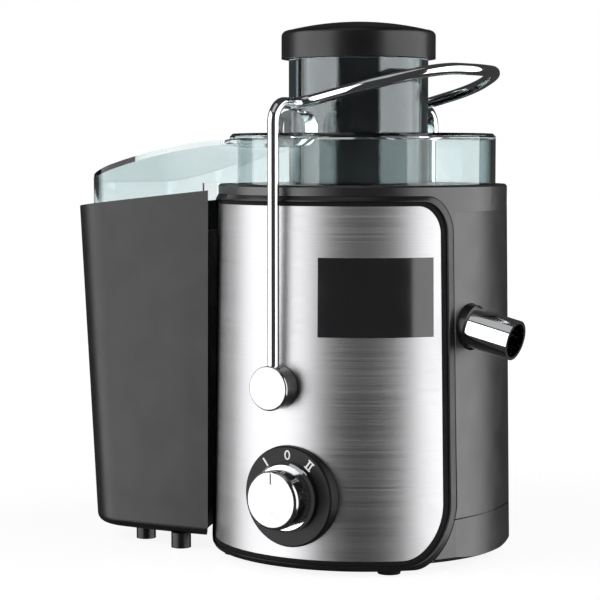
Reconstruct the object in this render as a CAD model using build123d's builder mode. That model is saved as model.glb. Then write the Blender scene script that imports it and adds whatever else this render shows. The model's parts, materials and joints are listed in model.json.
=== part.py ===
from build123d import *
import os
from math import atan, cos, degrees, radians, sin, sqrt

# Centrifugal juicer. Millimetres, +Z up, the speed dial faces -Y, the juice spout points to +X and
# the pulp container stands on the -X side. The origin is on the floor, under the middle of the
# whole appliance; the motor axis stands AXIS_X, AXIS_Y away from it.

# ---------------------------------------------------------------- driving dimensions: housing
BODY_R_FLOOR = 77.0  # outer radius of the tapered housing at the floor
BODY_TAPER = 2.5  # how much smaller its rim band is
TAPER_TOP = 180.0  # height where the taper ends and the rim band begins
RIM_TOP = 190.0  # top of the housing rim
BODY_WALL = 3.2  # housing wall
BASE_LOW = 5.0  # underside of the base plate
BASE_SEAM = 26.0  # seam between base plate and housing
BASE_EDGE = 2.0  # bevel of the base plate's lower edge
BASE_FLOOR = 2.6  # thickness of the base plate's floor
SEAM_LIP = 4.0  # height of the lip that centres the housing on the base plate
LIP_T = 1.6  # its thickness
SEAM_LINE = 0.6  # height of the shadow groove along the seam
SEAM_DEEP = 2.6  # its depth
SIDE_ARC_R = 110.0  # radius of the flatter right-hand side
SIDE_DEPTH = 2.2  # how far that side lies inside the round housing
SIDE_TURN = 2.0  # its middle, degrees from +X
SIDE_TOP = 177.0  # its upper end
SHELF_LOW = 107.0  # underside of the shelf that carries the juice bowl
SHELF_T = 3.0  # shelf thickness
SHELF_BORE_R = 20.0  # opening in the shelf for the motor boss

# Front panel and its bezel
PANEL_HALF_ANGLE = 61.5  # panel edge, degrees from straight ahead
PANEL_LOW = 7.5
PANEL_HIGH = 180.0
PANEL_T = 0.8
PANEL_R_TOP = 14.0  # upper corner radius, along the surface
PANEL_R_LOW = 26.0  # lower corner radius, along the surface
BEZEL_HALF_ANGLE = 67.5
BEZEL_LOW = 2.6
BEZEL_HIGH = 184.8
BEZEL_PROUD = 1.3  # how far the bezel stands out of the housing
BEZEL_SEAT = 1.0  # how deep bezel and panel sit in the housing
FIT = 0.15  # clearance of fixed pieces that drop into a seat
PLATE_FROM = 14.0  # dark plate on the panel: its two edges, degrees from straight ahead
PLATE_TO = 58.0
PLATE_LOW = 116.6
PLATE_HIGH = 155.2
PLATE_T = 0.3

# Feet and screws
FOOT_R = 6.4
FOOT_T = 6.0
FOOT_TAPER = 0.8
FOOT_SPOTS = ((45.5, -50.5), (49.5, 22.0))  # right-hand feet, front and rear; the left ones mirror them
SCREW_BOSS_R = 4.6
SCREW_BOSS_AT = 61.0  # distance of the housing screws from the motor axis
SCREW_BOSS_TOP = 44.0
BOSS_WEB_T = 3.0  # thickness of the web from each screw boss out to the wall
SCREW_R = 1.6
SCREW_HEAD_R = 3.4
SCREW_HEAD_T = 2.2
SCREW_TURNS = (40.0, 140.0, 198.0, 342.0)  # where they stand, degrees from +X

# Speed dial
DIAL_X = 4.0
DIAL_Z = 38.0
DIAL_R = 25.0
DIAL_PROUD = 1.6  # dial face in front of the panel's foremost line
DIAL_T = 7.0
MARK_AT = 20.6  # distance of the marks from the dial's centre
MARK_T = 0.3
MARK_TURN = 38.0  # angle between two switch positions, degrees
KNOB_R = 14.6
KNOB_SKIRT_R = 17.3
KNOB_SKIRT_T = 3.4
KNOB_T = 11.0
KNOB_GAP = 0.5  # knob skirt to dial face
KNOB_EDGE = 2.0
SPINDLE_R = 3.0
SWITCH_W = 28.0
SWITCH_T = 17.0

# Locking bar
WIRE_R = 2.9
PIVOT_X = -2.5
PIVOT_Z = 91.5
BAR_SEAT = 4.3  # middle of its legs in front of the pivot caps' backs
BAR_TOP = 230.0
BAR_BEND = 10.0
LOOP_Y = 57.0  # half width of the loop
LOOP_REACH = 70.5  # how far the loop reaches in front of its legs
LOOP_MID = (0.56, 0.93)  # point on the loop's side, as shares of its reach and half width
LOOP_END = (0.93, 0.53)  # point near its end
LOOP_RISE_MID = 9.5  # height of those points above the legs
LOOP_RISE_END = 17.0
LOOP_BENDS = (9.0, 50.0, 36.0)  # bend radii from the leg to the end
LOOP_NOSE = 60.0  # bend radius at the very end
PIVOT_CAP_R = 11.0
PIVOT_CAP_T = 9.6
PIVOT_GAP = 0.6  # cap to panel
PIN_R = 4.0
PIN_CLEAR = 0.05
BUSH_R = 6.4
BUSH_T = 9.0
BUSH_FLANGE_R = 9.0
BUSH_FLANGE_T = 2.0
CAM_R = 6.0
CAM_OFFSET = 2.0
CAM_T = 4.0
CAM_GAP = 0.25

# Clear cover and feed chute
COVER_STEP = 5.9  # the cover's drum stands this far inside the housing rim
COVER_TOP = 215.7
COVER_WALL = 2.5
COVER_LOW = 187.0  # where the round part rests on the bowl
COVER_EDGE = 1.5  # bevel along its top
ROOF_GAP = 1.5  # clearance of the roof's wall in the container, at its outer end
ROOF_SIDE_GAP = 1.2  # the same beside the housing
ROOF_FLAT_TO = 30.0  # the roof falls from here on
ROOF_TOP = 213.2
ROOF_END = 191.5
ROOF_TUCK = 4.0  # how deep its wall tucks into the container
ROOF_LIFT = 0.5  # its wall clears the housing rim by this much
CHUTE_X = -2.5
CHUTE_BORE_R = 32.5  # 65 mm feed chute
CHUTE_WALL = 3.5
CHUTE_TOP = 253.6
CHUTE_LOW = 152.5
LUG_W = 18.0
LUG_T = 12.0
LUG_SHIFT = 2.5  # middle of a lug outside the loop's half width
LUG_GAP = 0.4  # lug to locking bar

# Pusher
PUSHER_CLEAR = 1.3
PUSHER_WALL = 2.2
PUSHER_LOW = 155.0
CAP_OVER = 3.8  # how far the cap stands out over the chute
CAP_LOW = 254.0
CAP_SIDE_TOP = 268.5
CAP_TOP = 273.0
CAP_EDGE = 3.0

# Pulp container
BIN_GAP = 4.5  # container to housing at the floor
BIN_WALL = 2.5
BIN_LOW = 8.0
BIN_REACH_LOW = 142.0
BIN_REACH_TOP = 151.0
BIN_HALF_LOW = 60.0
BIN_HALF_TOP = 64.0
BIN_CORNER = 28.0
BIN_BULGE = 5.5  # how much its bowed sides draw in towards the housing
BIN_RIM_LEFT = 177.0  # rim height at its outer end
BIN_RIM_SLOPE = 0.104
BIN_HOLLOW_TOP = 165.0  # top of the wall that faces the housing
BIN_EDGE = 5.0
BIN_FOOT_R = 5.2
BIN_FEET = ((-79.0, 52.0), (-110.0, 41.0))

# Juice bowl and spout
BOWL_FLOOR = 2.5
BOWL_WALL = 2.5
BOWL_FLANGE = 4.8
BOWL_TOP = 187.0
TOWER_R = 15.0
TOWER_TOP = 124.0
SPOUT_Y = -16.2
SPOUT_ROOT_IN = 2.5  # where the spout's axis starts, inside the rim band's radius
SPOUT_ROOT_Z = 120.2
SPOUT_OUT = 24.5  # from there to the mouth, along X
SPOUT_DROP = 5.8
SPOUT_R = 10.0
SPOUT_SHANK_R = 9.7  # the stretch that is fixed in the wall
SPOUT_BORE_R = 8.4
SPOUT_INSIDE = 8.0  # length inside the wall
COLLAR_R = 11.2
COLLAR_PROUD = 2.0

# Motor and rotor
SHAFT_R = 4.0
SHAFT_LOW = 21.0
SHAFT_TOP = 137.0
RUN_CLEAR = 0.04  # shaft in its bearings
BEARING_R = 11.0
BEARING_T = 7.0
LOWER_BEARING_Z = 23.0
UPPER_BEARING_Z = 97.5
BRACKET_T = 3.0
BOSS_WALL = 3.0
STACK_LOW = 50.0
STACK_TOP = 84.0
YOKE_X = 84.0
YOKE_Y = 62.0
YOKE_W = 7.5
POLE_HALF_Y = 14.0
AIR_GAP = 1.0
ARMATURE_R = 20.5
SHOE_T = 3.0
SHOE_GAP = 14.0  # opening between the two pole shoes
COIL_T = 8.0
COIL_W = 7.5
COMMUTATOR_R = 11.0
COMMUTATOR_LOW = 34.0
COMMUTATOR_T = 8.0
BRUSH_W = 6.0
BRUSH_REACH = 25.0
FAN_R = 30.0
FAN_LOW = 91.5
FAN_T = 5.0
MOUNT_AT = 34.0
MOUNT_R = 6.0
PLATE_W = 86.0
COUPLING_R = 12.0
COUPLING_LOW = 126.5
COUPLING_TOP = 139.5
BASKET_FLOOR_Z = 146.0
BASKET_TOP = 190.0
BASKET_LOW_GAP = 6.0  # the basket's foot is this much wider than the chute
BASKET_TOP_GAP = 4.0  # basket rim to bowl flange
MESH_T = 0.8
RIM_RING_W = 3.0
GRATER_STEP = 2.0  # grater disc inside the basket's foot
GRATER_T = 1.2
TOOTH_H = 2.0

# Cord inlet
GLAND_X = 24.0
GLAND_Z = 40.0
GLAND_R = 8.0
GLAND_BORE_R = 3.6
GLAND_T = 12.0


# ---------------------------------------------------------------- derived sizes
BODY_R_RIM = BODY_R_FLOOR - BODY_TAPER


def body_r(height):
    """Outer radius of the housing at a height."""
    if height >= TAPER_TOP:
        return BODY_R_RIM
    return BODY_R_FLOOR - BODY_TAPER * height / TAPER_TOP


ROOF_HALF_Y = BIN_HALF_TOP - BIN_BULGE - BIN_WALL - ROOF_SIDE_GAP
ROOF_REACH = BIN_REACH_TOP - BIN_WALL - ROOF_GAP
ROOF_CORNER = BIN_CORNER - 1.0
COVER_R = BODY_R_RIM - COVER_STEP


def roof_z(reach):
    """Height of the cover's roof at a distance to -X."""
    fall = (ROOF_TOP - ROOF_END) / (ROOF_REACH - ROOF_FLAT_TO) ** 2
    return ROOF_TOP - fall * max(reach - ROOF_FLAT_TO, 0.0) ** 2


def bin_rim_z(reach):
    """Height of the container's rim at a distance to -X."""
    return BIN_RIM_LEFT + BIN_RIM_SLOPE * (BIN_REACH_TOP - reach)


SPOUT_ROOT_X = BODY_R_RIM - SPOUT_ROOT_IN
SPOUT_TILT = degrees(atan(SPOUT_DROP / SPOUT_OUT))
SPOUT_LENGTH = SPOUT_OUT / cos(radians(SPOUT_TILT))
SPOUT_REACH = SPOUT_ROOT_X + SPOUT_OUT + SPOUT_R * sin(radians(SPOUT_TILT))
DIAL_FACE = body_r(DIAL_Z) + DIAL_PROUD
KNOB_BACK = DIAL_FACE + KNOB_GAP
KNOB_FACE = KNOB_BACK + KNOB_SKIRT_T + KNOB_T
CAP_BACK = body_r(PIVOT_Z) + PIVOT_GAP
CAP_FACE = CAP_BACK + PIVOT_CAP_T
AXIS_X = (BIN_REACH_TOP - SPOUT_REACH) / 2
AXIS_Y = (KNOB_FACE - CAP_FACE) / 2
BAR_Y = CAP_BACK + BAR_SEAT
LUG_Y = LOOP_Y + LUG_SHIFT
CHUTE_R = CHUTE_BORE_R + CHUTE_WALL
PUSHER_R = CHUTE_BORE_R - PUSHER_CLEAR
CAP_R = CHUTE_R + CAP_OVER
BOWL_LOW = SHELF_LOW + SHELF_T
BOWL_R = BODY_R_RIM - BODY_WALL - 0.5
BASKET_R_LOW = CHUTE_R + BASKET_LOW_GAP
BASKET_R_TOP = BOWL_R - BOWL_FLANGE - BASKET_TOP_GAP - RIM_RING_W
GRATER_R = BASKET_R_LOW - GRATER_STEP
BIN_HUG_R = BODY_R_FLOOR + BIN_GAP
BIN_INNER_X = sqrt(BIN_HUG_R**2 - BIN_HALF_TOP**2)  # its closed form ends here, inside the housing's curve
SWITCH_FRONT = DIAL_FACE - DIAL_T
BRACKET_LOW = UPPER_BEARING_Z + 1.5
YOKE_POST_X = (YOKE_X - YOKE_W) / 2

FLOOR = Plane(origin=(AXIS_X, AXIS_Y, 0))  # horizontal, centred on the motor axis
FRONT = Plane(origin=(AXIS_X, AXIS_Y, 0), x_dir=(1, 0, 0), z_dir=(0, -1, 0))  # upright, faces -Y
SPIN = Axis((AXIS_X, AXIS_Y, 0), (0, 0, 1))

os.makedirs("parts", exist_ok=True)


# ---------------------------------------------------------------- helpers, used inside BuildPart
def turn(*points, mode=Mode.ADD):
    """Revolve a closed outline of (radius, height) points about the motor axis."""
    with BuildSketch(FRONT) as outline:
        with BuildLine():
            Polyline(*points, close=True)
        make_face()
    revolve(outline.sketch, axis=SPIN, mode=mode)


def post(radius, low, high, x=0.0, y=0.0, mode=Mode.ADD):
    """Upright cylinder between two heights."""
    with Locations((AXIS_X + x, AXIS_Y + y, low)):
        Cylinder(radius, high - low, align=(Align.CENTER, Align.CENTER, Align.MIN), mode=mode)


def rod(radius, y_from, y_to, x=0.0, z=0.0, mode=Mode.ADD):
    """Cylinder that lies along Y."""
    with Locations(Location((AXIS_X + x, AXIS_Y + (y_from + y_to) / 2, z), (90, 0, 0))):
        Cylinder(radius, abs(y_to - y_from), mode=mode)


def block(x_span, y_span, z_span, mode=Mode.ADD):
    """Box between two values on each axis."""
    middle = [(span[0] + span[1]) / 2 for span in (x_span, y_span, z_span)]
    with Locations((AXIS_X + middle[0], AXIS_Y + middle[1], middle[2])):
        Box(x_span[1] - x_span[0], y_span[1] - y_span[0], z_span[1] - z_span[0], mode=mode)


def skin(inside, outside, low, high, mode=Mode.ADD):
    """Tapered ring that follows the housing, from inside to outside of its surface."""
    turn(
        (body_r(low) + inside, low),
        (body_r(low) + outside, low),
        (body_r(high) + outside, high),
        (body_r(high) + inside, high),
        mode=mode,
    )


def front_prism(half_angle, low, high, corner_top, corner_low, depth, mode=Mode.ADD):
    """Rounded panel outline seen from the front, swept straight back to the motor axis."""
    squeeze = cos(radians(half_angle))
    x_low = body_r(low) * sin(radians(half_angle))
    x_top = body_r(high) * sin(radians(half_angle))
    low_c = (x_low - corner_low * squeeze, low + corner_low)
    top_c = (x_top - corner_top * squeeze, high - corner_top)
    with BuildSketch(FRONT) as outline:
        with BuildLine():
            Line((0, low), (low_c[0], low))
            EllipticalCenterArc(low_c, corner_low * squeeze, corner_low, start_angle=270, arc_size=90)
            Line((x_low, low_c[1]), (x_top, top_c[1]))
            EllipticalCenterArc(top_c, corner_top * squeeze, corner_top, start_angle=0, arc_size=90)
            Line((top_c[0], high), (0, high))
            Line((0, high), (0, low))
        make_face()
        mirror(about=Plane.YZ)
    extrude(outline.sketch, amount=depth, mode=mode)


def panel_prism(grow, mode=Mode.ADD):
    """Prism of the panel's outline, grown by a clearance."""
    front_prism(
        PANEL_HALF_ANGLE + degrees(grow / BODY_R_RIM),
        PANEL_LOW - grow,
        PANEL_HIGH + grow,
        PANEL_R_TOP,
        PANEL_R_LOW,
        BODY_R_FLOOR + 20,
        mode,
    )


def bezel_prism(grow, mode=Mode.ADD):
    """Prism of the bezel's outline, grown by a clearance."""
    front_prism(
        BEZEL_HALF_ANGLE + degrees(grow / BODY_R_RIM),
        BEZEL_LOW - grow,
        BEZEL_HIGH + grow,
        PANEL_R_TOP + PANEL_LOW - BEZEL_LOW,
        PANEL_R_LOW + PANEL_LOW - BEZEL_LOW,
        BODY_R_FLOOR + 20,
        mode,
    )


def bezel_seat(mode):
    """Shallow seat in the housing for the bezel and the panel."""
    with BuildPart() as seat:
        skin(-BEZEL_SEAT - FIT, 10.0, BEZEL_LOW - 2 * FIT, BEZEL_HIGH + 2 * FIT)
        bezel_prism(FIT, mode=Mode.INTERSECT)
    add(seat.part, mode=mode)


def side_flat(low, high):
    """Cut the flatter right-hand side."""
    away = body_r(TAPER_TOP) - SIDE_DEPTH - SIDE_ARC_R
    turn_x = AXIS_X + away * cos(radians(SIDE_TURN))
    turn_y = AXIS_Y + away * sin(radians(SIDE_TURN))
    centre = Plane(origin=(turn_x, turn_y, 0), x_dir=(1, 0, 0), z_dir=(0, -1, 0))
    grow_low = body_r(low) - body_r(TAPER_TOP)
    grow_high = body_r(high) - body_r(TAPER_TOP)
    outer = SIDE_ARC_R + 30
    with BuildSketch(centre) as outline:
        with BuildLine():
            Polyline(
                (SIDE_ARC_R + grow_low, low),
                (outer, low),
                (outer, high),
                (SIDE_ARC_R + grow_high, high),
                close=True,
            )
        make_face()
    revolve(outline.sketch, axis=Axis((turn_x, turn_y, 0), (0, 0, 1)), mode=Mode.SUBTRACT)


def around(distance, degrees_from_x):
    """Point at a distance and a direction from the motor axis."""
    return distance * cos(radians(degrees_from_x)), distance * sin(radians(degrees_from_x))


SPOUT_PLANE = Plane(
    origin=(AXIS_X + SPOUT_ROOT_X, AXIS_Y + SPOUT_Y, SPOUT_ROOT_Z),
    x_dir=(0, 1, 0),
    z_dir=(cos(radians(SPOUT_TILT)), 0, -sin(radians(SPOUT_TILT))),
)


def spout_tube(radius, start, end, mode=Mode.ADD):
    """Cylinder along the spout's axis, from start to end past the wall."""
    with BuildSketch(SPOUT_PLANE.offset(start)) as section:
        Circle(radius)
    extrude(section.sketch, amount=end - start, mode=mode)


# ---------------------------------------------------------------- housing
with BuildPart() as body_shell:
    turn(
        (body_r(BASE_SEAM), BASE_SEAM),
        (body_r(TAPER_TOP), TAPER_TOP),
        (BODY_R_RIM, RIM_TOP - 1.0),
        (BODY_R_RIM - 1.0, RIM_TOP),
        (BODY_R_RIM - BODY_WALL, RIM_TOP),
        (BODY_R_RIM - BODY_WALL, TAPER_TOP),
        (body_r(BASE_SEAM) - BODY_WALL, BASE_SEAM),
    )
    turn(
        (SHELF_BORE_R, SHELF_LOW),
        (body_r(SHELF_LOW) - BODY_WALL / 2, SHELF_LOW),
        (body_r(SHELF_LOW) - BODY_WALL / 2, SHELF_LOW + SHELF_T),
        (SHELF_BORE_R, SHELF_LOW + SHELF_T),
    )
    side_flat(BASE_SEAM, SIDE_TOP)
    for turn_deg in SCREW_TURNS:
        boss_x, boss_y = around(SCREW_BOSS_AT, turn_deg)
        post(SCREW_BOSS_R, BASE_LOW + BASE_FLOOR, SCREW_BOSS_TOP, boss_x, boss_y)
        web_reach = sqrt((body_r(SCREW_BOSS_TOP) - 0.75 * BODY_WALL) ** 2 - boss_y**2)
        block(
            sorted((boss_x, web_reach if boss_x > 0 else -web_reach)),
            (boss_y - BOSS_WEB_T / 2, boss_y + BOSS_WEB_T / 2),
            (BASE_SEAM + SEAM_LIP + 1, SCREW_BOSS_TOP),
        )
        post(SCREW_R, 0, SCREW_BOSS_TOP - 4, boss_x, boss_y, mode=Mode.SUBTRACT)
    bezel_seat(Mode.SUBTRACT)
    rod(DIAL_R + FIT, -60, -BODY_R_FLOOR - 5, DIAL_X, DIAL_Z, mode=Mode.SUBTRACT)
    rod(BUSH_R + FIT, -BODY_R_FLOOR, BODY_R_FLOOR, PIVOT_X, PIVOT_Z, mode=Mode.SUBTRACT)
    rod(GLAND_R + FIT, 60, BODY_R_FLOOR + 5, GLAND_X, GLAND_Z, mode=Mode.SUBTRACT)
    spout_tube(COLLAR_R + FIT, -SPOUT_INSIDE, 20, mode=Mode.SUBTRACT)
    for mount_x in (-MOUNT_AT, MOUNT_AT):
        for mount_y in (-MOUNT_AT, MOUNT_AT):
            post(SCREW_R, SHELF_LOW, SHELF_LOW + SHELF_T, mount_x, mount_y, mode=Mode.SUBTRACT)
body_shell.part.label = "body_shell"
export_step(body_shell.part, "parts/body_shell.step")

with BuildPart() as base_plate:
    lip_r = body_r(BASE_SEAM) - BODY_WALL - FIT
    turn(
        (0, BASE_LOW),
        (body_r(BASE_LOW) - BASE_EDGE, BASE_LOW),
        (body_r(BASE_LOW), BASE_LOW + BASE_EDGE),
        (body_r(BASE_SEAM), BASE_SEAM - SEAM_LINE),
        (body_r(BASE_SEAM) - SEAM_DEEP, BASE_SEAM - SEAM_LINE),
        (body_r(BASE_SEAM) - SEAM_DEEP, BASE_SEAM),
        (lip_r, BASE_SEAM),
        (lip_r, BASE_SEAM + SEAM_LIP),
        (lip_r - LIP_T, BASE_SEAM + SEAM_LIP),
        (lip_r - LIP_T, BASE_LOW + BASE_FLOOR),
        (0, BASE_LOW + BASE_FLOOR),
    )
    side_flat(0, BASE_SEAM)
    bezel_seat(Mode.SUBTRACT)
    rod(DIAL_R + FIT, -60, -BODY_R_FLOOR - 5, DIAL_X, DIAL_Z, mode=Mode.SUBTRACT)
    for slot_y in (-20, -10, 0, 10, 20):
        slot_half = sqrt(36.0**2 - slot_y**2)
        block((-slot_half, slot_half), (slot_y - 2, slot_y + 2), (0, 20), mode=Mode.SUBTRACT)
    for foot_x, foot_y in FOOT_SPOTS:
        for side in (-1, 1):
            post(FOOT_R, 0, FOOT_T, side * foot_x, foot_y, mode=Mode.SUBTRACT)
    for turn_deg in SCREW_TURNS:
        boss_x, boss_y = around(SCREW_BOSS_AT, turn_deg)
        post(SCREW_R, 0, 20, boss_x, boss_y, mode=Mode.SUBTRACT)
base_plate.part.label = "base_plate"
export_step(base_plate.part, "parts/base_plate.step")

with BuildPart() as rubber_feet:
    for foot_x, foot_y in FOOT_SPOTS:
        for side in (-1, 1):
            with Locations((AXIS_X + side * foot_x, AXIS_Y + foot_y, 0)):
                Cone(FOOT_R - FOOT_TAPER, FOOT_R, FOOT_T / 2, align=(Align.CENTER, Align.CENTER, Align.MIN))
            post(FOOT_R, FOOT_T / 2, FOOT_T, side * foot_x, foot_y)
rubber_feet.part.label = "rubber_feet"
export_step(rubber_feet.part, "parts/rubber_feet.step")

with BuildPart() as base_screws:
    for turn_deg in SCREW_TURNS:
        boss_x, boss_y = around(SCREW_BOSS_AT, turn_deg)
        post(SCREW_HEAD_R, BASE_LOW - SCREW_HEAD_T, BASE_LOW, boss_x, boss_y)
        post(SCREW_R, BASE_LOW, BASE_LOW + 20, boss_x, boss_y)
base_screws.part.label = "base_screws"
export_step(base_screws.part, "parts/base_screws.step")

with BuildPart() as front_bezel:
    skin(-BEZEL_SEAT, BEZEL_PROUD, BEZEL_LOW, BEZEL_HIGH)
    bezel_prism(0, mode=Mode.INTERSECT)
    panel_prism(FIT, mode=Mode.SUBTRACT)
front_bezel.part.label = "front_bezel"
export_step(front_bezel.part, "parts/front_bezel.step")

with BuildPart() as front_panel:
    skin(-PANEL_T, 0, PANEL_LOW, PANEL_HIGH)
    panel_prism(0, mode=Mode.INTERSECT)
    rod(DIAL_R + FIT, -60, -BODY_R_FLOOR - 5, DIAL_X, DIAL_Z, mode=Mode.SUBTRACT)
    rod(BUSH_R + FIT, -60, -BODY_R_FLOOR, PIVOT_X, PIVOT_Z, mode=Mode.SUBTRACT)
front_panel.part.label = "front_panel"
export_step(front_panel.part, "parts/front_panel.step")

with BuildPart() as panel_plate:
    skin(0, PLATE_T, PLATE_LOW, PLATE_HIGH)
    with BuildSketch(FLOOR.offset(PLATE_LOW)):
        wedge_r = 2 * BODY_R_FLOOR
        Polygon(
            (0, 0),
            around(wedge_r, PLATE_FROM - 90),
            around(wedge_r, PLATE_TO - 90),
            align=None,
        )
    extrude(amount=PLATE_HIGH - PLATE_LOW, mode=Mode.INTERSECT)
panel_plate.part.label = "panel_plate"
export_step(panel_plate.part, "parts/panel_plate.step")

# ---------------------------------------------------------------- speed dial
with BuildPart() as dial_plate:
    rod(DIAL_R, -SWITCH_FRONT, -DIAL_FACE, DIAL_X, DIAL_Z)
    chamfer(dial_plate.faces().sort_by(Axis.Y)[0].edges(), 0.8)
    rod(SPINDLE_R + 1, -60, -90, DIAL_X, DIAL_Z, mode=Mode.SUBTRACT)
dial_plate.part.label = "dial_plate"
export_step(dial_plate.part, "parts/dial_plate.step")

DIAL_PLANE = Plane(
    origin=(AXIS_X + DIAL_X, AXIS_Y - DIAL_FACE, DIAL_Z), x_dir=(1, 0, 0), z_dir=(0, -1, 0)
)


def mark_spot(turn_deg):
    """Place on the dial for a mark, turned so that it stands upright to the rim."""
    reach = radians(turn_deg)
    return Location((MARK_AT * sin(reach), MARK_AT * cos(reach), 0), (0, 0, -turn_deg))


with BuildPart() as dial_marks:
    with BuildSketch(DIAL_PLANE):
        with Locations(mark_spot(-MARK_TURN)):
            Rectangle(0.9, 4.6)
        with Locations(mark_spot(0)):
            Ellipse(1.6, 2.4)
            Ellipse(0.9, 1.7, mode=Mode.SUBTRACT)
        with Locations(mark_spot(MARK_TURN)):
            with GridLocations(1.9, 0, 2, 1):
                Rectangle(0.8, 4.6)
            with GridLocations(0, 4.2, 1, 2):
                Rectangle(4.0, 0.6)
    extrude(amount=MARK_T)
dial_marks.part.label = "dial_marks"
export_step(dial_marks.part, "parts/dial_marks.step")

with BuildPart() as speed_switch:
    half = SWITCH_W / 2
    block(
        (DIAL_X - half, DIAL_X + half),
        (-SWITCH_FRONT, -SWITCH_FRONT + SWITCH_T),
        (DIAL_Z - half, DIAL_Z + half),
    )
    chamfer(speed_switch.edges().filter_by(Axis.Y), 3)
    for tab_x in (-8, 0, 8):
        block(
            (DIAL_X + tab_x - 2.4, DIAL_X + tab_x + 2.4),
            (-SWITCH_FRONT + SWITCH_T, -SWITCH_FRONT + SWITCH_T + 6),
            (DIAL_Z - 4.4, DIAL_Z - 3.6),
        )
    rod(SPINDLE_R + PIN_CLEAR, -SWITCH_FRONT - 1, -SWITCH_FRONT + 10, DIAL_X, DIAL_Z, mode=Mode.SUBTRACT)
speed_switch.part.label = "speed_switch"
export_step(speed_switch.part, "parts/speed_switch.step")

with BuildPart() as switch_spindle:
    rod(SPINDLE_R, -SWITCH_FRONT + 9.5, -KNOB_BACK - KNOB_SKIRT_T, DIAL_X, DIAL_Z)
switch_spindle.part.label = "switch_spindle"
export_step(switch_spindle.part, "parts/switch_spindle.step")

with BuildPart() as knob_skirt:
    rod(KNOB_SKIRT_R, -KNOB_BACK, -KNOB_BACK - KNOB_SKIRT_T, DIAL_X, DIAL_Z)
    chamfer(knob_skirt.faces().sort_by(Axis.Y)[0].edges(), 1.2)
    rod(SPINDLE_R, -60, -95, DIAL_X, DIAL_Z, mode=Mode.SUBTRACT)
knob_skirt.part.label = "knob_skirt"
export_step(knob_skirt.part, "parts/knob_skirt.step")

with BuildPart() as speed_knob:
    rod(KNOB_R, -KNOB_BACK - KNOB_SKIRT_T, -KNOB_FACE, DIAL_X, DIAL_Z)
    fillet(speed_knob.faces().sort_by(Axis.Y)[0].edges(), KNOB_EDGE)
    block(
        (DIAL_X - 0.6, DIAL_X + 0.6),
        (-KNOB_FACE - 1, -KNOB_FACE + 0.5),
        (DIAL_Z + KNOB_R - 6.5, DIAL_Z + KNOB_R + 1),
        mode=Mode.SUBTRACT,
    )
speed_knob.part.label = "speed_knob"
export_step(speed_knob.part, "parts/speed_knob.step")

# ---------------------------------------------------------------- locking bar
bar_points = [
    (0.0, -BAR_Y, PIVOT_Z),
    (0.0, -BAR_Y, BAR_TOP),
    (0.0, -LOOP_Y, BAR_TOP),
    (LOOP_MID[0] * LOOP_REACH, -LOOP_MID[1] * LOOP_Y, BAR_TOP + LOOP_RISE_MID),
    (LOOP_END[0] * LOOP_REACH, -LOOP_END[1] * LOOP_Y, BAR_TOP + LOOP_RISE_END),
    (LOOP_REACH, 0.0, BAR_TOP + LOOP_RISE_END),
]
bar_points += [(x, -y, z) for x, y, z in reversed(bar_points[:-1])]
bar_radii = [BAR_BEND, *LOOP_BENDS, LOOP_NOSE, *reversed(LOOP_BENDS), BAR_BEND]
with BuildPart() as locking_bar:
    with BuildLine() as bar_line:
        FilletPolyline(
            *[(AXIS_X + PIVOT_X + x, AXIS_Y + y, z) for x, y, z in bar_points], radius=bar_radii
        )
    with BuildSketch(Plane(origin=bar_line.line @ 0, z_dir=bar_line.line % 0)):
        Circle(WIRE_R)
    sweep()
locking_bar.part.label = "locking_bar"
export_step(locking_bar.part, "parts/locking_bar.step")


def pivot_cap(side):
    """Round cap that holds one leg of the locking bar; side is -1 at the front, 1 at the rear."""
    rod(PIVOT_CAP_R, side * CAP_BACK, side * CAP_FACE, PIVOT_X, PIVOT_Z)
    ends = faces().sort_by(Axis.Y)
    fillet(ends[0 if side < 0 else -1].edges(), 1.0)
    post(WIRE_R, PIVOT_Z, PIVOT_Z + 20, PIVOT_X, side * BAR_Y, mode=Mode.SUBTRACT)


with BuildPart() as pivot_cap_front:
    pivot_cap(-1)
pivot_cap_front.part.label = "pivot_cap_front"
export_step(pivot_cap_front.part, "parts/pivot_cap_front.step")

with BuildPart() as pivot_cap_rear:
    pivot_cap(1)
pivot_cap_rear.part.label = "pivot_cap_rear"
export_step(pivot_cap_rear.part, "parts/pivot_cap_rear.step")

bush_front = body_r(PIVOT_Z) - PANEL_T - 0.4
cam_y = bush_front - BUSH_T - 1.0
with BuildPart() as pivot_pins:
    rod(PIN_R, -CAP_BACK, -cam_y, PIVOT_X, PIVOT_Z)
    rod(PIN_R, CAP_BACK, cam_y, PIVOT_X, PIVOT_Z)
pivot_pins.part.label = "pivot_pins"
export_step(pivot_pins.part, "parts/pivot_pins.step")

with BuildPart() as pivot_bushes:
    for side in (-1, 1):
        rod(BUSH_R, side * bush_front, side * (bush_front - BUSH_T), PIVOT_X, PIVOT_Z)
        flange_y = body_r(PIVOT_Z) - BODY_WALL - 1.4
        rod(BUSH_FLANGE_R, side * flange_y, side * (flange_y - BUSH_FLANGE_T), PIVOT_X, PIVOT_Z)
        rod(PIN_R + PIN_CLEAR, side * 60, side * 80, PIVOT_X, PIVOT_Z, mode=Mode.SUBTRACT)
pivot_bushes.part.label = "pivot_bushes"
export_step(pivot_bushes.part, "parts/pivot_bushes.step")

# The rear pin carries an eccentric cam; it holds the interlock plunger down while the bar is locked.
with BuildPart() as interlock_cam:
    rod(CAM_R, cam_y, cam_y - CAM_T, PIVOT_X, PIVOT_Z - CAM_OFFSET)
interlock_cam.part.label = "interlock_cam"
export_step(interlock_cam.part, "parts/interlock_cam.step")

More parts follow.
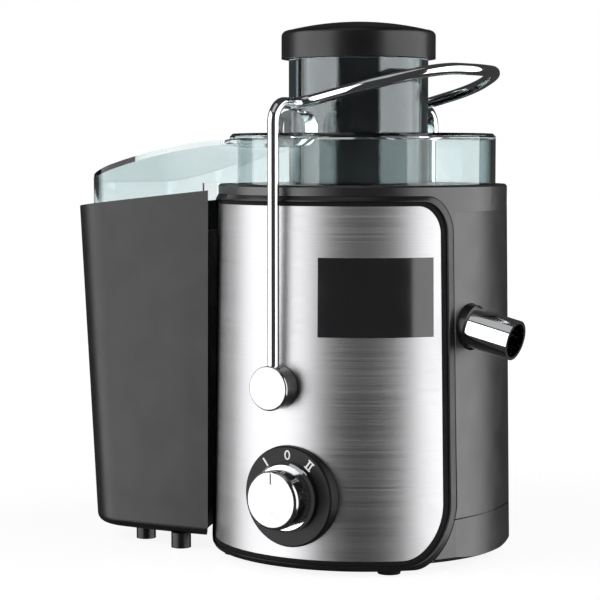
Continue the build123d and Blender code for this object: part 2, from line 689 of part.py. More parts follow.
plunger_top = PIVOT_Z - CAM_OFFSET - CAM_R - CAM_GAP
switch_y = (cam_y - CAM_T / 2 - 5, cam_y - CAM_T / 2 + 5)
with BuildPart() as interlock_switch:
    block((PIVOT_X - 14, PIVOT_X + 14), switch_y, (plunger_top - 19, plunger_top - 3))
    post(2.2, plunger_top - 10, plunger_top, PIVOT_X, cam_y - CAM_T / 2, mode=Mode.SUBTRACT)
    block(
        (PIVOT_X - 14, PIVOT_X + 14),
        (switch_y[1], body_r(PIVOT_Z) - BODY_WALL - 2.0),
        (plunger_top - 17, plunger_top - 13),
    )
interlock_switch.part.label = "interlock_switch"
export_step(interlock_switch.part, "parts/interlock_switch.step")

with BuildPart() as interlock_plunger:
    post(1.9, plunger_top - 9, plunger_top, PIVOT_X, cam_y - CAM_T / 2)
interlock_plunger.part.label = "interlock_plunger"
export_step(interlock_plunger.part, "parts/interlock_plunger.step")


# ---------------------------------------------------------------- clear cover and chute
def cover_form(inset, low):
    """Closed form of the cover, inset by a wall: a round drum and the roof over the container."""
    reach = ROOF_REACH - inset
    steps = [ROOF_FLAT_TO + (ROOF_REACH + 8 - ROOF_FLAT_TO) * n / 4 for n in range(5)]
    end_slope = 2 * (ROOF_TOP - ROOF_END) / (ROOF_REACH - ROOF_FLAT_TO)
    with BuildPart() as form:
        with BuildSketch(FLOOR.offset(low)):
            with Locations((-reach / 2, 0)):
                Rectangle(reach, 2 * (ROOF_HALF_Y - inset))
            fillet(vertices().group_by(Axis.X)[0], ROOF_CORNER - inset)
        extrude(amount=COVER_TOP - low)
        with BuildSketch(FRONT):
            with BuildLine():
                falling = Spline(
                    *[(-step, roof_z(step) - inset) for step in steps],
                    tangents=[(-1, 0), (-1, -end_slope)],
                )
                Polyline(
                    falling @ 1,
                    (-ROOF_REACH - 8, low - 1),
                    (COVER_R, low - 1),
                    (COVER_R, ROOF_TOP - inset),
                    falling @ 0,
                )
            make_face()
        extrude(amount=2 * COVER_R, both=True, mode=Mode.INTERSECT)
        post(COVER_R - inset, low, COVER_TOP - inset)
        chamfer(form.faces().sort_by(Axis.Z)[-1].edges(), COVER_EDGE - inset / 4)
    return form.part


def roof_cut(lift, height, mode):
    """Wedge above or below the container's sloping rim, moved up by lift."""
    far = BIN_REACH_TOP + 20
    with BuildPart() as wedge:
        with BuildSketch(FRONT):
            Polygon(
                (-far, bin_rim_z(far) + lift),
                (0, bin_rim_z(0) + lift),
                (0, bin_rim_z(0) + lift + height),
                (-far, bin_rim_z(far) + lift + height),
                align=None,
            )
        extrude(amount=2 * BODY_R_FLOOR, both=True)
    add(wedge.part, mode=mode)


lug_r = LUG_W / 2
lug_centre_z = BAR_TOP - WIRE_R - LUG_GAP - lug_r
with BuildPart() as clear_cover:
    add(cover_form(0, BIN_RIM_LEFT - ROOF_TUCK))
    add(cover_form(COVER_WALL, BIN_RIM_LEFT - ROOF_TUCK - 1), mode=Mode.SUBTRACT)
    # the wall stops on the bowl, passes over the housing rim and tucks into the container
    post(COVER_R + 1.6, 0, COVER_LOW, mode=Mode.SUBTRACT)
    turn(
        (COVER_R + 0.9, RIM_TOP - 30),
        (BIN_HUG_R + 0.8, RIM_TOP - 30),
        (BIN_HUG_R + 0.8, RIM_TOP + ROOF_LIFT),
        (COVER_R + 0.9, RIM_TOP + ROOF_LIFT),
        mode=Mode.SUBTRACT,
    )
    roof_cut(-ROOF_TUCK - 60, 60, Mode.SUBTRACT)
    post(CHUTE_R, CHUTE_LOW, CHUTE_TOP, CHUTE_X)
    post(CHUTE_BORE_R, CHUTE_LOW - 1, CHUTE_TOP + 1, CHUTE_X, mode=Mode.SUBTRACT)
    for side in (-1, 1):
        lug_y = sorted((side * (LUG_Y - LUG_T / 2), side * (LUG_Y + LUG_T / 2)))
        block((PIVOT_X - lug_r, PIVOT_X + lug_r), lug_y, (COVER_TOP - 1, lug_centre_z))
        rod(lug_r, lug_y[0], lug_y[1], PIVOT_X, lug_centre_z)
clear_cover.part.label = "clear_cover"
export_step(clear_cover.part, "parts/clear_cover.step")

# ---------------------------------------------------------------- pusher
with BuildPart() as pusher_body:
    post(PUSHER_R, PUSHER_LOW, CAP_LOW, CHUTE_X)
    fillet(pusher_body.faces().sort_by(Axis.Z)[0].edges(), 1.5)
    post(PUSHER_R - PUSHER_WALL, PUSHER_LOW + PUSHER_WALL, CAP_LOW + 1, CHUTE_X, mode=Mode.SUBTRACT)
pusher_body.part.label = "pusher_body"
export_step(pusher_body.part, "parts/pusher_body.step")

with BuildPart() as pusher_cap:
    flat_r = CAP_R - CAP_EDGE
    dome_rise = CAP_TOP - CAP_SIDE_TOP
    dome_r = (flat_r**2 + dome_rise**2) / (2 * dome_rise)
    dome_middle_z = CAP_TOP - dome_r + sqrt(dome_r**2 - flat_r**2 / 4)
    with BuildSketch(Plane(origin=(AXIS_X + CHUTE_X, AXIS_Y, 0), x_dir=(1, 0, 0), z_dir=(0, -1, 0))):
        with BuildLine():
            Polyline((0, CAP_TOP), (0, CAP_LOW), (CAP_R, CAP_LOW), (CAP_R, CAP_SIDE_TOP - CAP_EDGE))
            ThreePointArc(
                (CAP_R, CAP_SIDE_TOP - CAP_EDGE),
                (CAP_R - CAP_EDGE * 0.29, CAP_SIDE_TOP - CAP_EDGE * 0.29),
                (flat_r, CAP_SIDE_TOP),
            )
            ThreePointArc((flat_r, CAP_SIDE_TOP), (flat_r / 2, dome_middle_z), (0, CAP_TOP))
        make_face()
    revolve(axis=Axis((AXIS_X + CHUTE_X, AXIS_Y, 0), (0, 0, 1)))
pusher_cap.part.label = "pusher_cap"
export_step(pusher_cap.part, "parts/pusher_cap.step")


# ---------------------------------------------------------------- pulp container
def bin_form(inset):
    """Closed tapered form of the container, inset by its wall."""
    top = BIN_RIM_LEFT + BIN_RIM_SLOPE * BIN_REACH_TOP + 5
    with BuildPart() as form:
        for reach, half_y, height in (
            (BIN_REACH_LOW, BIN_HALF_LOW, BIN_LOW + inset),
            (BIN_REACH_TOP, BIN_HALF_TOP, top + inset),
        ):
            with BuildSketch(FLOOR.offset(height)):
                side_y = half_y - inset
                corner_r = BIN_CORNER - inset
                bow_ends = ((BIN_CORNER - reach, side_y), (-BIN_INNER_X, side_y - BIN_BULGE))
                with BuildLine():
                    bow = TangentArc(*bow_ends, tangent=(1, 0))
                    Line(bow @ 1, (-BIN_INNER_X, 0))
                    CenterArc((BIN_CORNER - reach, side_y - corner_r), corner_r, 90, 90)
                    Line((inset - reach, side_y - corner_r), (inset - reach, 0))
                    Line((inset - reach, 0), (-BIN_INNER_X, 0))
                make_face()
                mirror(about=Plane.XZ)
        loft()
        fillet(form.faces().sort_by(Axis.Z)[0].edges(), BIN_EDGE - inset)
    return form.part


def bin_hollow():
    """Inside of the container; its wall along the housing ends below the rim."""
    with BuildPart() as hollow:
        add(bin_form(BIN_WALL))
        post(BIN_HUG_R + BIN_WALL, 0, BIN_HOLLOW_TOP, mode=Mode.SUBTRACT)
    return hollow.part


with BuildPart() as pulp_container:
    add(bin_form(0))
    add(bin_hollow(), mode=Mode.SUBTRACT)
    post(BIN_HUG_R, 0, RIM_TOP + 30, mode=Mode.SUBTRACT)
    roof_cut(0, 60, Mode.SUBTRACT)
pulp_container.part.label = "pulp_container"
export_step(pulp_container.part, "parts/pulp_container.step")

with BuildPart() as container_feet:
    for foot_x, foot_y in BIN_FEET:
        for side in (-1, 1):
            post(BIN_FOOT_R, 0, BIN_LOW, foot_x, side * foot_y)
container_feet.part.label = "container_feet"
export_step(container_feet.part, "parts/container_feet.step")

# ---------------------------------------------------------------- juice bowl and spout
with BuildPart() as juice_bowl:
    inner_r = BOWL_R - BOWL_WALL
    turn(
        (TOWER_R - BOWL_WALL, BOWL_LOW),
        (BOWL_R, BOWL_LOW),
        (BOWL_R, BOWL_TOP),
        (BOWL_R - BOWL_FLANGE, BOWL_TOP),
        (BOWL_R - BOWL_FLANGE, BOWL_TOP - 2.5),
        (inner_r, BOWL_TOP - 4.5),
        (inner_r, BOWL_LOW + BOWL_FLOOR),
        (TOWER_R, BOWL_LOW + BOWL_FLOOR),
        (TOWER_R, TOWER_TOP),
        (SHAFT_R + 4, TOWER_TOP),
        (SHAFT_R + 4, TOWER_TOP - 2.5),
        (TOWER_R - BOWL_WALL, TOWER_TOP - 2.5),
    )
    spout_tube(SPOUT_SHANK_R, -SPOUT_INSIDE, 5, mode=Mode.SUBTRACT)
juice_bowl.part.label = "juice_bowl"
export_step(juice_bowl.part, "parts/juice_bowl.step")

with BuildPart() as shaft_seal:
    turn(
        (SHAFT_R + RUN_CLEAR, TOWER_TOP - 2.5),
        (SHAFT_R + 4, TOWER_TOP - 2.5),
        (SHAFT_R + 4, TOWER_TOP),
        (SHAFT_R + 2, TOWER_TOP + 1.2),
        (SHAFT_R + RUN_CLEAR, TOWER_TOP + 1.2),
    )
shaft_seal.part.label = "shaft_seal"
export_step(shaft_seal.part, "parts/shaft_seal.step")

with BuildPart() as spout_nozzle:
    spout_tube(SPOUT_SHANK_R, -SPOUT_INSIDE, COLLAR_PROUD)
    spout_tube(SPOUT_R, COLLAR_PROUD, SPOUT_LENGTH)
    spout_tube(SPOUT_BORE_R, -SPOUT_INSIDE - 1, SPOUT_LENGTH + 1, mode=Mode.SUBTRACT)
spout_nozzle.part.label = "spout_nozzle"
export_step(spout_nozzle.part, "parts/spout_nozzle.step")

with BuildPart() as spout_collar:
    spout_tube(COLLAR_R, -BODY_WALL, COLLAR_PROUD)
    chamfer(spout_collar.faces().sort_by(Axis.X)[-1].edges(), 0.8)
    spout_tube(SPOUT_SHANK_R, -20, 20, mode=Mode.SUBTRACT)
    post(BOWL_R + 0.3, SPOUT_ROOT_Z - 30, SPOUT_ROOT_Z + 30, mode=Mode.SUBTRACT)
    bezel_seat(Mode.SUBTRACT)
spout_collar.part.label = "spout_collar"
export_step(spout_collar.part, "parts/spout_collar.step")

# ---------------------------------------------------------------- motor, fixed pieces
with BuildPart() as lower_bracket:
    plate_z = LOWER_BEARING_Z + BEARING_T
    post(BEARING_R + BOSS_WALL, LOWER_BEARING_Z - 1, plate_z)
    block((-YOKE_X / 2, YOKE_X / 2), (-12, 12), (plate_z - BRACKET_T, plate_z))
    for side in (-1, 1):
        post(YOKE_W / 2, plate_z, STACK_LOW, side * YOKE_POST_X)
    post(BEARING_R, LOWER_BEARING_Z, plate_z + 1, mode=Mode.SUBTRACT)
    post(SHAFT_R + 1, 0, plate_z, mode=Mode.SUBTRACT)
lower_bracket.part.label = "lower_bracket"
export_step(lower_bracket.part, "parts/lower_bracket.step")

with BuildPart() as upper_bracket:
    with BuildSketch(FLOOR.offset(BRACKET_LOW)):
        RectangleRounded(PLATE_W, PLATE_W, 10)
        with GridLocations(0, 64, 1, 2):
            Circle(10, mode=Mode.SUBTRACT)
    extrude(amount=BRACKET_T)
    post(BEARING_R + BOSS_WALL, UPPER_BEARING_Z, UPPER_BEARING_Z + BEARING_T + 1)
    for side in (-1, 1):
        post(YOKE_W / 2, STACK_TOP, BRACKET_LOW, side * YOKE_POST_X)
    post(BEARING_R, 0, UPPER_BEARING_Z + BEARING_T, mode=Mode.SUBTRACT)
    post(SHAFT_R + 1, 0, 200, mode=Mode.SUBTRACT)
    for mount_x in (-MOUNT_AT, MOUNT_AT):
        for mount_y in (-MOUNT_AT, MOUNT_AT):
            post(SCREW_R, 0, 200, mount_x, mount_y, mode=Mode.SUBTRACT)
upper_bracket.part.label = "upper_bracket"
export_step(upper_bracket.part, "parts/upper_bracket.step")


def bearing(low):
    """Deep-groove bearing drawn as one ring with its two shallow seal grooves."""
    turn(
        (SHAFT_R + RUN_CLEAR, low),
        (BEARING_R - 4.5, low),
        (BEARING_R - 4.5, low + 0.5),
        (BEARING_R - 2, low + 0.5),
        (BEARING_R - 2, low),
        (BEARING_R, low),
        (BEARING_R, low + BEARING_T),
        (BEARING_R - 2, low + BEARING_T),
        (BEARING_R - 2, low + BEARING_T - 0.5),
        (BEARING_R - 4.5, low + BEARING_T - 0.5),
        (BEARING_R - 4.5, low + BEARING_T),
        (SHAFT_R + RUN_CLEAR, low + BEARING_T),
    )


with BuildPart() as lower_bearing:
    bearing(LOWER_BEARING_Z)
lower_bearing.part.label = "lower_bearing"
export_step(lower_bearing.part, "parts/lower_bearing.step")

with BuildPart() as upper_bearing:
    bearing(UPPER_BEARING_Z)
upper_bearing.part.label = "upper_bearing"
export_step(upper_bearing.part, "parts/upper_bearing.step")

shoe_in = ARMATURE_R + AIR_GAP
shoe_out = shoe_in + SHOE_T
with BuildSketch() as pole_shoes:
    Circle(shoe_out)
    Rectangle(SHOE_GAP, 4 * shoe_out, mode=Mode.SUBTRACT)
with BuildPart() as field_core:
    with BuildSketch(FLOOR.offset(STACK_LOW)):
        Rectangle(YOKE_X, YOKE_Y)
        Rectangle(YOKE_X - 2 * YOKE_W, YOKE_Y - 2 * YOKE_W, mode=Mode.SUBTRACT)
        Rectangle(YOKE_X, 2 * POLE_HALF_Y)
        add(pole_shoes.sketch)
        Circle(shoe_in, mode=Mode.SUBTRACT)
    extrude(amount=STACK_TOP - STACK_LOW)
field_core.part.label = "field_core"
export_step(field_core.part, "parts/field_core.step")

coil_in = shoe_out + 0.5
with BuildPart() as field_coils:
    for side in (-1, 1):
        coil_x = sorted((side * coil_in, side * (coil_in + COIL_T)))
        coil_y = POLE_HALF_Y + COIL_W
        block(coil_x, (-coil_y, coil_y), (STACK_LOW - COIL_W, STACK_TOP + COIL_W - 1))
    fillet(field_coils.edges().filter_by(Axis.X), 3)
    block((-60, 60), (-POLE_HALF_Y, POLE_HALF_Y), (STACK_LOW, STACK_TOP), mode=Mode.SUBTRACT)
field_coils.part.label = "field_coils"
export_step(field_coils.part, "parts/field_coils.step")

brush_z = (COMMUTATOR_LOW + 1, COMMUTATOR_LOW + COMMUTATOR_T - 1)
brush_y = (COMMUTATOR_R + 0.3, COMMUTATOR_R + BRUSH_REACH)
with BuildPart() as carbon_brushes:
    for side in (-1, 1):
        span = sorted((side * brush_y[0], side * (brush_y[1] - 6)))
        block((-BRUSH_W / 2, BRUSH_W / 2), span, brush_z)
carbon_brushes.part.label = "carbon_brushes"
export_step(carbon_brushes.part, "parts/carbon_brushes.step")

with BuildPart() as brush_holders:
    for side in (-1, 1):
        holder = sorted((side * (brush_y[0] + 3), side * brush_y[1]))
        block((-BRUSH_W / 2 - 1.5, BRUSH_W / 2 + 1.5), holder, (brush_z[0] - 1.5, brush_z[1] + 1.5))
        bore = sorted((side * brush_y[0], side * (brush_y[1] - 2)))
        block((-BRUSH_W / 2, BRUSH_W / 2), bore, brush_z, mode=Mode.SUBTRACT)
        arm = sorted((side * 11.0, side * brush_y[1]))
        block((-8, 8), arm, (plate_z, brush_z[0] - 1.5))
        post(BEARING_R + 0.5, plate_z, brush_z[0] - 1.5, mode=Mode.SUBTRACT)
brush_holders.part.label = "brush_holders"
export_step(brush_holders.part, "parts/brush_holders.step")

with BuildPart() as motor_mounts:
    for mount_x in (-MOUNT_AT, MOUNT_AT):
        for mount_y in (-MOUNT_AT, MOUNT_AT):
            post(MOUNT_R, BRACKET_LOW + BRACKET_T, SHELF_LOW, mount_x, mount_y)
            post(SCREW_R, 0, 200, mount_x, mount_y, mode=Mode.SUBTRACT)
motor_mounts.part.label = "motor_mounts"
export_step(motor_mounts.part, "parts/motor_mounts.step")

with BuildPart() as motor_screws:
    for mount_x in (-MOUNT_AT, MOUNT_AT):
        for mount_y in (-MOUNT_AT, MOUNT_AT):
            post(SCREW_HEAD_R, BRACKET_LOW - SCREW_HEAD_T, BRACKET_LOW, mount_x, mount_y)
            post(SCREW_R, BRACKET_LOW, SHELF_LOW + SHELF_T, mount_x, mount_y)
motor_screws.part.label = "motor_screws"
export_step(motor_screws.part, "parts/motor_screws.step")

gland_wall_y = sqrt(body_r(GLAND_Z) ** 2 - GLAND_X**2)
with BuildPart() as cord_gland:
    rod(GLAND_R, gland_wall_y - BODY_WALL - 3, gland_wall_y + GLAND_T - BODY_WALL, GLAND_X, GLAND_Z)
    chamfer(cord_gland.faces().sort_by(Axis.Y)[-1].edges(), 2)
    rod(GLAND_BORE_R, 40, 120, GLAND_X, GLAND_Z, mode=Mode.SUBTRACT)
cord_gland.part.label = "cord_gland"
export_step(cord_gland.part, "parts/cord_gland.step")

# ---------------------------------------------------------------- rotor
with BuildPart() as motor_shaft:
    post(SHAFT_R, SHAFT_LOW, SHAFT_TOP)
motor_shaft.part.label = "motor_shaft"
export_step(motor_shaft.part, "parts/motor_shaft.step")

with BuildPart() as armature_core:
    post(ARMATURE_R, STACK_LOW, STACK_TOP)
    post(SHAFT_R, 0, 200, mode=Mode.SUBTRACT)
    with BuildSketch(FLOOR.offset(STACK_LOW)):
        with PolarLocations(ARMATURE_R - 4, 12):
            Rectangle(9, 2.4)
    extrude(amount=STACK_TOP - STACK_LOW, mode=Mode.SUBTRACT)
armature_core.part.label = "armature_core"
export_step(armature_core.part, "parts/armature_core.step")

with BuildPart() as armature_winding:
    for low, high in ((STACK_LOW - 6, STACK_LOW), (STACK_TOP, STACK_TOP + 6)):
        post(ARMATURE_R - 2, low, high)
    fillet(armature_winding.edges().filter_by(GeomType.CIRCLE), 2)
    with BuildSketch(FLOOR.offset(STACK_LOW)):
        with PolarLocations(ARMATURE_R - 5, 12):
            Rectangle(6.6, 2.4)
    extrude(amount=STACK_TOP - STACK_LOW)
    post(SHAFT_R, 0, 200, mode=Mode.SUBTRACT)
armature_winding.part.label = "armature_winding"
export_step(armature_winding.part, "parts/armature_winding.step")

with BuildPart() as commutator:
    post(COMMUTATOR_R, COMMUTATOR_LOW, COMMUTATOR_LOW + COMMUTATOR_T)
    post(SHAFT_R, 0, 200, mode=Mode.SUBTRACT)
    with BuildSketch(FLOOR.offset(COMMUTATOR_LOW)):
        with PolarLocations(COMMUTATOR_R, 12):
            Rectangle(3, 0.5)
    extrude(amount=COMMUTATOR_T, mode=Mode.SUBTRACT)
commutator.part.label = "commutator"
export_step(commutator.part, "parts/commutator.step")

with BuildPart() as cooling_fan:
    post(FAN_R - 8, FAN_LOW, FAN_LOW + 1)
    post(SHAFT_R + 4, FAN_LOW, FAN_LOW + FAN_T)
    with BuildSketch(FLOOR.offset(FAN_LOW)):
        with PolarLocations((FAN_R + SHAFT_R + 2) / 2, 9):
            Rectangle(FAN_R - SHAFT_R - 2, 1.4)
    extrude(amount=FAN_T)
    post(SHAFT_R, 0, 200, mode=Mode.SUBTRACT)
cooling_fan.part.label = "cooling_fan"
export_step(cooling_fan.part, "parts/cooling_fan.step")

with BuildPart() as drive_coupling:
    with BuildSketch(FLOOR.offset(COUPLING_LOW)):
        Circle(COUPLING_R)
        with PolarLocations(COUPLING_R, 6):
            Circle(2, mode=Mode.SUBTRACT)
    extrude(amount=COUPLING_TOP - COUPLING_LOW)
    post(SHAFT_R, 0, SHAFT_TOP, mode=Mode.SUBTRACT)
drive_coupling.part.label = "drive_coupling"
export_step(drive_coupling.part, "parts/drive_coupling.step")

with BuildPart() as basket_hub:
    turn(
        (0, COUPLING_TOP),
        (COUPLING_R, COUPLING_TOP),
        (COUPLING_R, COUPLING_LOW + 1),
        (COUPLING_R + 2.5, COUPLING_LOW + 1),
        (COUPLING_R + 2.5, BASKET_FLOOR_Z - 8),
        (BASKET_R_LOW, BASKET_FLOOR_Z - 3),
        (BASKET_R_LOW, BASKET_FLOOR_Z),
        (0, BASKET_FLOOR_Z),
    )
basket_hub.part.label = "basket_hub"
export_step(basket_hub.part, "parts/basket_hub.step")

with BuildPart() as filter_mesh:
    turn(
        (BASKET_R_LOW - MESH_T, BASKET_FLOOR_Z),
        (BASKET_R_LOW, BASKET_FLOOR_Z),
        (BASKET_R_TOP, BASKET_TOP - 3),
        (BASKET_R_TOP - MESH_T, BASKET_TOP - 3),
    )
    lean = (BASKET_R_TOP - BASKET_R_LOW) / (BASKET_TOP - 3 - BASKET_FLOOR_Z)
    for row in range(3):
        row_z = BASKET_FLOOR_Z + 12 + 12 * row
        row_r = BASKET_R_LOW + lean * (row_z - BASKET_FLOOR_Z) - MESH_T / 2
        with Locations((AXIS_X, AXIS_Y, row_z)):
            with PolarLocations(row_r, 30):
                Box(5, 2.2, 8, mode=Mode.SUBTRACT)
filter_mesh.part.label = "filter_mesh"
export_step(filter_mesh.part, "parts/filter_mesh.step")

with BuildPart() as basket_rim:
    turn(
        (BASKET_R_TOP - MESH_T, BASKET_TOP - 3),
        (BASKET_R_TOP + RIM_RING_W, BASKET_TOP - 3),
        (BASKET_R_TOP + RIM_RING_W, BASKET_TOP),
        (BASKET_R_TOP - MESH_T, BASKET_TOP),
    )
basket_rim.part.label = "basket_rim"
export_step(basket_rim.part, "parts/basket_rim.step")

with BuildPart() as grater_disc:
    post(GRATER_R, BASKET_FLOOR_Z, BASKET_FLOOR_Z + GRATER_T)
    for ring_r, count in ((12, 8), (21, 14), (30, 20)):
        with Locations((AXIS_X, AXIS_Y, BASKET_FLOOR_Z + GRATER_T)):
            with PolarLocations(ring_r, count):
                Cone(1.6, 0.3, TOOTH_H, align=(Align.CENTER, Align.CENTER, Align.MIN))
grater_disc.part.label = "grater_disc"
export_step(grater_disc.part, "parts/grater_disc.step")
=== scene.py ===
import json
from math import asin, cos, pi, radians, sin

import bmesh
import bpy
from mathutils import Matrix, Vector


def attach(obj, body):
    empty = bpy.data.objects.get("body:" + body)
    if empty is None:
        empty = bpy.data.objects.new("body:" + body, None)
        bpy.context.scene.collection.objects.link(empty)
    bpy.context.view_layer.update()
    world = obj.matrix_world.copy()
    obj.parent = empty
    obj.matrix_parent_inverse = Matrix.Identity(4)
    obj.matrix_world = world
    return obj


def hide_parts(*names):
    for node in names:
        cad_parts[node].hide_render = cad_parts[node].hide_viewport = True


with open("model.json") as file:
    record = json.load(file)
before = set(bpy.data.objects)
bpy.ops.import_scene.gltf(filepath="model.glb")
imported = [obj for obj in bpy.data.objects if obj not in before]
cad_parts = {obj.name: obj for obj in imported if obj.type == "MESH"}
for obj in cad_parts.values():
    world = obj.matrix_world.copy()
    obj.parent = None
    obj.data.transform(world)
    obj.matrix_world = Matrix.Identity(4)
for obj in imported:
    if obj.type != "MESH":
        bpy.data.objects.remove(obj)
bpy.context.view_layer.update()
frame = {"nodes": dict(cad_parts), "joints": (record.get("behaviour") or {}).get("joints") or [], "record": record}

NODES = frame["nodes"]
JOINTS = {joint["name"]: joint for joint in frame["joints"]}
AXIS = Vector(JOINTS["rotor_spin"]["pos_m"])  # the motor axis, from which the round pieces are measured


# ---------------------------------------------------------------- material building blocks
NOISE_RANGE = (0.3, 0.7)  # where most of a noise texture's values lie


def shader(name):
    """New material; returns its node tree and its Principled shader."""
    material = bpy.data.materials.new(name)
    material.use_nodes = True
    tree = material.node_tree
    return material, tree, tree.nodes["Principled BSDF"]


def link(tree, source, target):
    tree.links.new(source, target)


def object_coords(tree, scale):
    """Object coordinates stretched by a scale on each axis."""
    coords = tree.nodes.new("ShaderNodeTexCoord")
    mapping = tree.nodes.new("ShaderNodeMapping")
    mapping.inputs["Scale"].default_value = scale
    link(tree, coords.outputs["Object"], mapping.inputs["Vector"])
    return mapping.outputs["Vector"]


def noise(tree, scale, size=1.0, detail=3.0):
    """Noise texture over stretched object coordinates."""
    texture = tree.nodes.new("ShaderNodeTexNoise")
    texture.inputs["Scale"].default_value = size
    texture.inputs["Detail"].default_value = detail
    link(tree, object_coords(tree, scale), texture.inputs["Vector"])
    return texture.outputs["Fac"]


def spread(tree, value, low, high):
    """Map a 0 to 1 value onto low to high."""
    node = tree.nodes.new("ShaderNodeMapRange")
    node.inputs["From Min"].default_value, node.inputs["From Max"].default_value = NOISE_RANGE
    node.inputs["To Min"].default_value = low
    node.inputs["To Max"].default_value = high
    link(tree, value, node.inputs["Value"])
    return node.outputs["Result"]


def tint(tree, value, dark, light):
    """Blend two colours by a value."""
    node = tree.nodes.new("ShaderNodeMix")
    node.data_type = "RGBA"
    node.inputs["A"].default_value = (*dark, 1)
    node.inputs["B"].default_value = (*light, 1)
    link(tree, value, node.inputs["Factor"])
    return node.outputs["Result"]


def bump(tree, height, strength, distance):
    node = tree.nodes.new("ShaderNodeBump")
    node.inputs["Strength"].default_value = strength
    node.inputs["Distance"].default_value = distance
    link(tree, height, node.inputs["Height"])
    return node.outputs["Normal"]


# ---------------------------------------------------------------- materials
def moulded_plastic(name, dark, light, rough, grain=2200.0, relief=0.05, coat=0.0, gloss=0.5):
    """Injection-moulded plastic: fine spark grain, slight colour drift, uneven gloss."""
    material, tree, bsdf = shader(name)
    drift = noise(tree, (14, 14, 9), 1.0, 4.0)
    link(tree, tint(tree, drift, dark, light), bsdf.inputs["Base Color"])
    wear = noise(tree, (60, 60, 60))
    link(tree, spread(tree, wear, rough - 0.04, rough + 0.05), bsdf.inputs["Roughness"])
    link(tree, bump(tree, noise(tree, (grain,) * 3, 1.0, 2.0), relief, 0.0001), bsdf.inputs["Normal"])
    bsdf.inputs["Specular IOR Level"].default_value = gloss
    bsdf.inputs["Coat Weight"].default_value = coat
    bsdf.inputs["Coat Roughness"].default_value = 0.12
    return material


def brushed_metal(name, dark, light, rough, stretch, anisotropy=0.65, relief=0.12):
    """Brushed stainless sheet: long scratches across the stretched axes."""
    material, tree, bsdf = shader(name)
    bsdf.inputs["Metallic"].default_value = 1.0
    bsdf.inputs["Anisotropic"].default_value = anisotropy
    scratches = noise(tree, stretch, 1.0, 6.0)
    link(tree, tint(tree, spread(tree, scratches, 0, 1), dark, light), bsdf.inputs["Base Color"])
    link(tree, spread(tree, scratches, rough - 0.05, rough + 0.07), bsdf.inputs["Roughness"])
    link(tree, bump(tree, scratches, relief, 0.00006), bsdf.inputs["Normal"])
    tangent = tree.nodes.new("ShaderNodeTangent")
    tangent.direction_type = "RADIAL"
    tangent.axis = "Z"
    link(tree, tangent.outputs["Tangent"], bsdf.inputs["Tangent"])
    return material


def plated_metal(name, dark, light, rough):
    """Chrome plate: mirror surface with faint haze and polishing waves."""
    material, tree, bsdf = shader(name)
    bsdf.inputs["Metallic"].default_value = 1.0
    haze = noise(tree, (90, 90, 90), 1.0, 3.0)
    link(tree, tint(tree, haze, dark, light), bsdf.inputs["Base Color"])
    link(tree, spread(tree, haze, rough, rough + 0.05), bsdf.inputs["Roughness"])
    link(tree, bump(tree, noise(tree, (260, 260, 260)), 0.02, 0.0001), bsdf.inputs["Normal"])
    return material


def clear_plastic(name, face, edge, rough, ior=1.46):
    """Clear moulding: light through its face, deeper colour towards its edges."""
    material, tree, bsdf = shader(name)
    bsdf.inputs["Transmission Weight"].default_value = 1.0
    bsdf.inputs["IOR"].default_value = ior
    weight = tree.nodes.new("ShaderNodeLayerWeight")
    weight.inputs["Blend"].default_value = 0.45
    link(tree, tint(tree, weight.outputs["Facing"], face, edge), bsdf.inputs["Base Color"])
    flow = noise(tree, (30, 30, 30), 1.0, 2.0)
    link(tree, spread(tree, flow, rough, rough + 0.03), bsdf.inputs["Roughness"])
    link(tree, bump(tree, flow, 0.03, 0.0006), bsdf.inputs["Normal"])
    return material


def wound_copper(name):
    """Enamelled wire lying side by side."""
    material, tree, bsdf = shader(name)
    bsdf.inputs["Metallic"].default_value = 0.9
    wave = tree.nodes.new("ShaderNodeTexWave")
    wave.inputs["Scale"].default_value = 1.0
    wave.inputs["Distortion"].default_value = 0.6
    link(tree, object_coords(tree, (180, 180, 180)), wave.inputs["Vector"])
    enamel = tint(tree, wave.outputs["Fac"], (0.22, 0.06, 0.02), (0.62, 0.24, 0.09))
    link(tree, enamel, bsdf.inputs["Base Color"])
    link(tree, spread(tree, wave.outputs["Fac"], 0.3, 0.42), bsdf.inputs["Roughness"])
    link(tree, bump(tree, wave.outputs["Fac"], 0.6, 0.0004), bsdf.inputs["Normal"])
    return material


